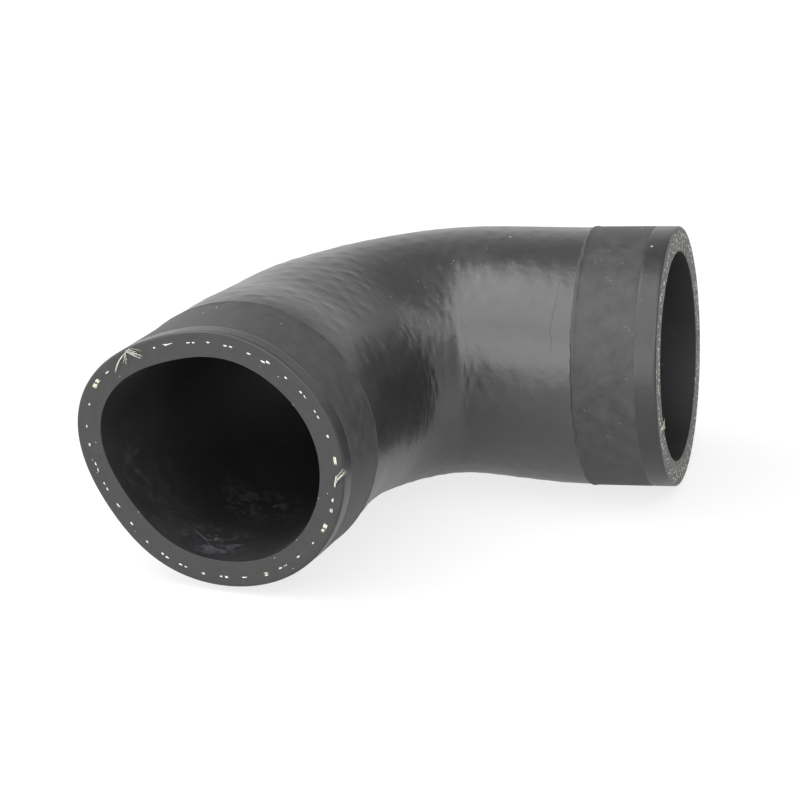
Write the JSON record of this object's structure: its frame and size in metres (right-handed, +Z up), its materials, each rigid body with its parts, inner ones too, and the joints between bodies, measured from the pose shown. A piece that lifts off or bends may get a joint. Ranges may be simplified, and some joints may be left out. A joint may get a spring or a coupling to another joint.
{
  "type": "intercooler hose",
  "caption": "Moulded elbow hose of fabric-reinforced rubber, with a thick cuff at each open end, that carries boost air round a tight bend.",
  "frame": {"origin": "middle of the resting footprint, on the surface that the hose lies on", "axes": "+Z up; the round leg's mouth faces +X and the shaped leg's mouth faces -Y, each tipped about 2.5 degrees up as the hose lies"},
  "size_m": [0.1264, 0.1218, 0.0626],
  "materials": {
    "rubber": "satin",
    "reinforcement_yarn": "matte"
  },
  "bodies": {
    "root": {"hose": "rubber"}
  },
  "joints": []
}
